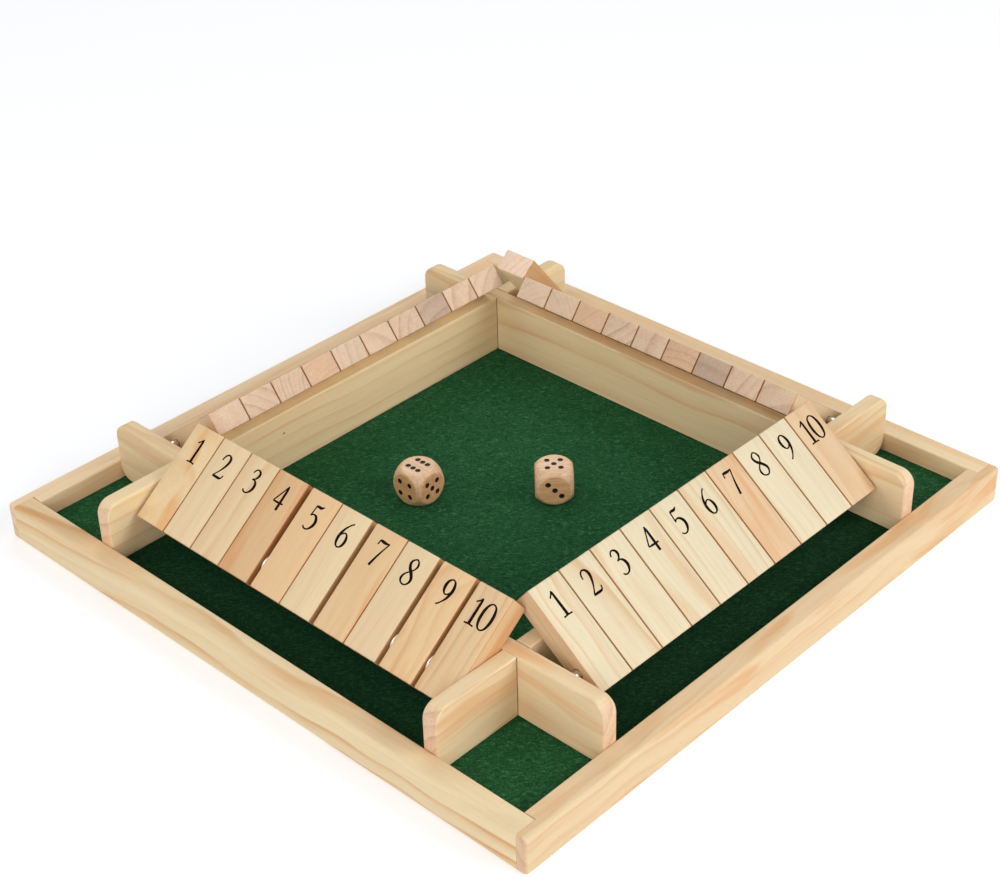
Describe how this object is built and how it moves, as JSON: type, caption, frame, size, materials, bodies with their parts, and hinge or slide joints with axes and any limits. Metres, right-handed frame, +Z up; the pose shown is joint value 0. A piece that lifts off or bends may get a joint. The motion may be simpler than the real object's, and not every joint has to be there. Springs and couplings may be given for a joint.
{
  "type": "shut the box game",
  "caption": "Square pine dice tray for four players, lined with green felt, with a bank of numbered flip tiles on a steel rod along each side and a pair of wooden dice.",
  "frame": {"origin": "Middle of the underside of the tray, on the surface it stands on.", "axes": "+Z up; +X runs along the front rail from the near left corner to the right, +Y from the front rail to the back."},
  "size_m": [0.29, 0.29, 0.0581],
  "materials": {
    "rail_pine": "sanded pine, satin clear coat",
    "wall_pine": "sanded pine, satin clear coat",
    "tile_pine": "sanded pine with black printed numbers",
    "base_ply": "bare plywood",
    "green_felt": "short green felt",
    "rod_steel": "bright drawn steel",
    "dice_wood": "fine beech with black spots"
  },
  "bodies": {
    "tray": {"base_board": "base_ply", "felt_sheet": "green_felt", "front_rail": "rail_pine", "right_rail": "rail_pine", "back_rail": "rail_pine", "left_rail": "rail_pine", "front_wall": "wall_pine", "right_wall": "wall_pine", "back_wall": "wall_pine", "left_wall": "wall_pine", "front_rod": "rod_steel", "right_rod": "rod_steel", "back_rod": "rod_steel", "left_rod": "rod_steel", "left_washer_05": "rod_steel", "left_washer_09": "rod_steel", "left_washer_10": "rod_steel", "die_1": "dice_wood", "die_2": "dice_wood"},
    "front_tile_01": {"front_tile_01": "tile_pine"},
    "front_tile_02": {"front_tile_02": "tile_pine"},
    "front_tile_03": {"front_tile_03": "tile_pine"},
    "front_tile_04": {"front_tile_04": "tile_pine"},
    "front_tile_05": {"front_tile_05": "tile_pine"},
    "front_tile_06": {"front_tile_06": "tile_pine"},
    "front_tile_07": {"front_tile_07": "tile_pine"},
    "front_tile_08": {"front_tile_08": "tile_pine"},
    "front_tile_09": {"front_tile_09": "tile_pine"},
    "front_tile_10": {"front_tile_10": "tile_pine"},
    "right_tile_01": {"right_tile_01": "tile_pine"},
    "right_tile_02": {"right_tile_02": "tile_pine"},
    "right_tile_03": {"right_tile_03": "tile_pine"},
    "right_tile_04": {"right_tile_04": "tile_pine"},
    "right_tile_05": {"right_tile_05": "tile_pine"},
    "right_tile_06": {"right_tile_06": "tile_pine"},
    "right_tile_07": {"right_tile_07": "tile_pine"},
    "right_tile_08": {"right_tile_08": "tile_pine"},
    "right_tile_09": {"right_tile_09": "tile_pine"},
    "right_tile_10": {"right_tile_10": "tile_pine"},
    "back_tile_01": {"back_tile_01": "tile_pine"},
    "back_tile_02": {"back_tile_02": "tile_pine"},
    "back_tile_03": {"back_tile_03": "tile_pine"},
    "back_tile_04": {"back_tile_04": "tile_pine"},
    "back_tile_05": {"back_tile_05": "tile_pine"},
    "back_tile_06": {"back_tile_06": "tile_pine"},
    "back_tile_07": {"back_tile_07": "tile_pine"},
    "back_tile_08": {"back_tile_08": "tile_pine"},
    "back_tile_09": {"back_tile_09": "tile_pine"},
    "back_tile_10": {"back_tile_10": "tile_pine"},
    "left_tile_01": {"left_tile_01": "tile_pine"},
    "left_tile_02": {"left_tile_02": "tile_pine"},
    "left_tile_03": {"left_tile_03": "tile_pine"},
    "left_tile_04": {"left_tile_04": "tile_pine"},
    "left_tile_05": {"left_tile_05": "tile_pine"},
    "left_tile_06": {"left_tile_06": "tile_pine"},
    "left_tile_07": {"left_tile_07": "tile_pine"},
    "left_tile_08": {"left_tile_08": "tile_pine"},
    "left_tile_09": {"left_tile_09": "tile_pine"},
    "left_tile_10": {"left_tile_10": "tile_pine"}
  },
  "joints": [
    {"name": "front_tile_01_flip", "type": "hinge", "parent": "tray", "child": "front_tile_01", "pos_m": [-0.07308, -0.1116, 0.0287], "axis": [1, 0, 0], "range_deg": [0, 154.4]},
    {"name": "front_tile_02_flip", "type": "hinge", "parent": "tray", "child": "front_tile_02", "pos_m": [-0.05628, -0.1116, 0.0287], "axis": [1, 0, 0], "range_deg": [0, 154.4]},
    {"name": "front_tile_03_flip", "type": "hinge", "parent": "tray", "child": "front_tile_03", "pos_m": [-0.03948, -0.1116, 0.0287], "axis": [1, 0, 0], "range_deg": [0, 154.4]},
    {"name": "front_tile_04_flip", "type": "hinge", "parent": "tray", "child": "front_tile_04", "pos_m": [-0.02268, -0.1116, 0.0287], "axis": [1, 0, 0], "range_deg": [0, 154.4]},
    {"name": "front_tile_05_flip", "type": "hinge", "parent": "tray", "child": "front_tile_05", "pos_m": [-0.00588, -0.1116, 0.0287], "axis": [1, 0, 0], "range_deg": [0, 154.4]},
    {"name": "front_tile_06_flip", "type": "hinge", "parent": "tray", "child": "front_tile_06", "pos_m": [0.01092, -0.1116, 0.0287], "axis": [1, 0, 0], "range_deg": [0, 154.4]},
    {"name": "front_tile_07_flip", "type": "hinge", "parent": "tray", "child": "front_tile_07", "pos_m": [0.02772, -0.1116, 0.0287], "axis": [1, 0, 0], "range_deg": [0, 154.4]},
    {"name": "front_tile_08_flip", "type": "hinge", "parent": "tray", "child": "front_tile_08", "pos_m": [0.04452, -0.1116, 0.0287], "axis": [1, 0, 0], "range_deg": [0, 154.4]},
    {"name": "front_tile_09_flip", "type": "hinge", "parent": "tray", "child": "front_tile_09", "pos_m": [0.06132, -0.1116, 0.0287], "axis": [1, 0, 0], "range_deg": [0, 154.4]},
    {"name": "front_tile_10_flip", "type": "hinge", "parent": "tray", "child": "front_tile_10", "pos_m": [0.07812, -0.1116, 0.0287], "axis": [1, 0, 0], "range_deg": [0, 154.4]},
    {"name": "right_tile_01_flip", "type": "hinge", "parent": "tray", "child": "right_tile_01", "pos_m": [0.1116, -0.07308, 0.0287], "axis": [0, 1, 0], "range_deg": [0, 154.4]},
    {"name": "right_tile_02_flip", "type": "hinge", "parent": "tray", "child": "right_tile_02", "pos_m": [0.1116, -0.05628, 0.0287], "axis": [0, 1, 0], "range_deg": [0, 154.4]},
    {"name": "right_tile_03_flip", "type": "hinge", "parent": "tray", "child": "right_tile_03", "pos_m": [0.1116, -0.03948, 0.0287], "axis": [0, 1, 0], "range_deg": [0, 154.4]},
    {"name": "right_tile_04_flip", "type": "hinge", "parent": "tray", "child": "right_tile_04", "pos_m": [0.1116, -0.02268, 0.0287], "axis": [0, 1, 0], "range_deg": [0, 154.4]},
    {"name": "right_tile_05_flip", "type": "hinge", "parent": "tray", "child": "right_tile_05", "pos_m": [0.1116, -0.00588, 0.0287], "axis": [0, 1, 0], "range_deg": [0, 154.4]},
    {"name": "right_tile_06_flip", "type": "hinge", "parent": "tray", "child": "right_tile_06", "pos_m": [0.1116, 0.01092, 0.0287], "axis": [0, 1, 0], "range_deg": [0, 154.4]},
    {"name": "right_tile_07_flip", "type": "hinge", "parent": "tray", "child": "right_tile_07", "pos_m": [0.1116, 0.02772, 0.0287], "axis": [0, 1, 0], "range_deg": [0, 154.4]},
    {"name": "right_tile_08_flip", "type": "hinge", "parent": "tray", "child": "right_tile_08", "pos_m": [0.1116, 0.04452, 0.0287], "axis": [0, 1, 0], "range_deg": [0, 154.4]},
    {"name": "right_tile_09_flip", "type": "hinge", "parent": "tray", "child": "right_tile_09", "pos_m": [0.1116, 0.06132, 0.0287], "axis": [0, 1, 0], "range_deg": [0, 154.4]},
    {"name": "right_tile_10_flip", "type": "hinge", "parent": "tray", "child": "right_tile_10", "pos_m": [0.1116, 0.07812, 0.0287], "axis": [0, 1, 0], "range_deg": [0, 140.1]},
    {"name": "back_tile_01_flip", "type": "hinge", "parent": "tray", "child": "back_tile_01", "pos_m": [0.07812, 0.1116, 0.0287], "axis": [-1, 0, 0], "range_deg": [0, 154.4]},
    {"name": "back_tile_02_flip", "type": "hinge", "parent": "tray", "child": "back_tile_02", "pos_m": [0.06132, 0.1116, 0.0287], "axis": [-1, 0, 0], "range_deg": [0, 154.4]},
    {"name": "back_tile_03_flip", "type": "hinge", "parent": "tray", "child": "back_tile_03", "pos_m": [0.04452, 0.1116, 0.0287], "axis": [-1, 0, 0], "range_deg": [0, 154.4]},
    {"name": "back_tile_04_flip", "type": "hinge", "parent": "tray", "child": "back_tile_04", "pos_m": [0.02772, 0.1116, 0.0287], "axis": [-1, 0, 0], "range_deg": [0, 154.4]},
    {"name": "back_tile_05_flip", "type": "hinge", "parent": "tray", "child": "back_tile_05", "pos_m": [0.01092, 0.1116, 0.0287], "axis": [-1, 0, 0], "range_deg": [0, 154.4]},
    {"name": "back_tile_06_flip", "type": "hinge", "parent": "tray", "child": "back_tile_06", "pos_m": [-0.00588, 0.1116, 0.0287], "axis": [-1, 0, 0], "range_deg": [0, 154.4]},
    {"name": "back_tile_07_flip", "type": "hinge", "parent": "tray", "child": "back_tile_07", "pos_m": [-0.02268, 0.1116, 0.0287], "axis": [-1, 0, 0], "range_deg": [0, 154.4]},
    {"name": "back_tile_08_flip", "type": "hinge", "parent": "tray", "child": "back_tile_08", "pos_m": [-0.03948, 0.1116, 0.0287], "axis": [-1, 0, 0], "range_deg": [0, 154.4]},
    {"name": "back_tile_09_flip", "type": "hinge", "parent": "tray", "child": "back_tile_09", "pos_m": [-0.05628, 0.1116, 0.0287], "axis": [-1, 0, 0], "range_deg": [0, 154.4]},
    {"name": "back_tile_10_flip", "type": "hinge", "parent": "tray", "child": "back_tile_10", "pos_m": [-0.07308, 0.1116, 0.0287], "axis": [-1, 0, 0], "range_deg": [0, 154.4]},
    {"name": "left_tile_01_flip", "type": "hinge", "parent": "tray", "child": "left_tile_01", "pos_m": [-0.1116, 0.07782, 0.0287], "axis": [0, -1, 0], "range_deg": [0, 154.4]},
    {"name": "left_tile_02_flip", "type": "hinge", "parent": "tray", "child": "left_tile_02", "pos_m": [-0.1116, 0.06114, 0.0287], "axis": [0, -1, 0], "range_deg": [0, 154.4]},
    {"name": "left_tile_03_flip", "type": "hinge", "parent": "tray", "child": "left_tile_03", "pos_m": [-0.1116, 0.04446, 0.0287], "axis": [0, -1, 0], "range_deg": [0, 154.4]},
    {"name": "left_tile_04_flip", "type": "hinge", "parent": "tray", "child": "left_tile_04", "pos_m": [-0.1116, 0.02777, 0.0287], "axis": [0, -1, 0], "range_deg": [0, 154.4]},
    {"name": "left_tile_05_flip", "type": "hinge", "parent": "tray", "child": "left_tile_05", "pos_m": [-0.1116, 0.00902, 0.0287], "axis": [0, -1, 0], "range_deg": [0, 154.4]},
    {"name": "left_tile_06_flip", "type": "hinge", "parent": "tray", "child": "left_tile_06", "pos_m": [-0.1116, -0.00766, 0.0287], "axis": [0, -1, 0], "range_deg": [0, 154.4]},
    {"name": "left_tile_07_flip", "type": "hinge", "parent": "tray", "child": "left_tile_07", "pos_m": [-0.1116, -0.02616, 0.0287], "axis": [0, -1, 0], "range_deg": [0, 154.4]},
    {"name": "left_tile_08_flip", "type": "hinge", "parent": "tray", "child": "left_tile_08", "pos_m": [-0.1116, -0.04284, 0.0287], "axis": [0, -1, 0], "range_deg": [0, 154.4]},
    {"name": "left_tile_09_flip", "type": "hinge", "parent": "tray", "child": "left_tile_09", "pos_m": [-0.1116, -0.06119, 0.0287], "axis": [0, -1, 0], "range_deg": [0, 154.4]},
    {"name": "left_tile_10_flip", "type": "hinge", "parent": "tray", "child": "left_tile_10", "pos_m": [-0.1116, -0.07924, 0.0287], "axis": [0, -1, 0], "range_deg": [0, 154.4]}
  ]
}
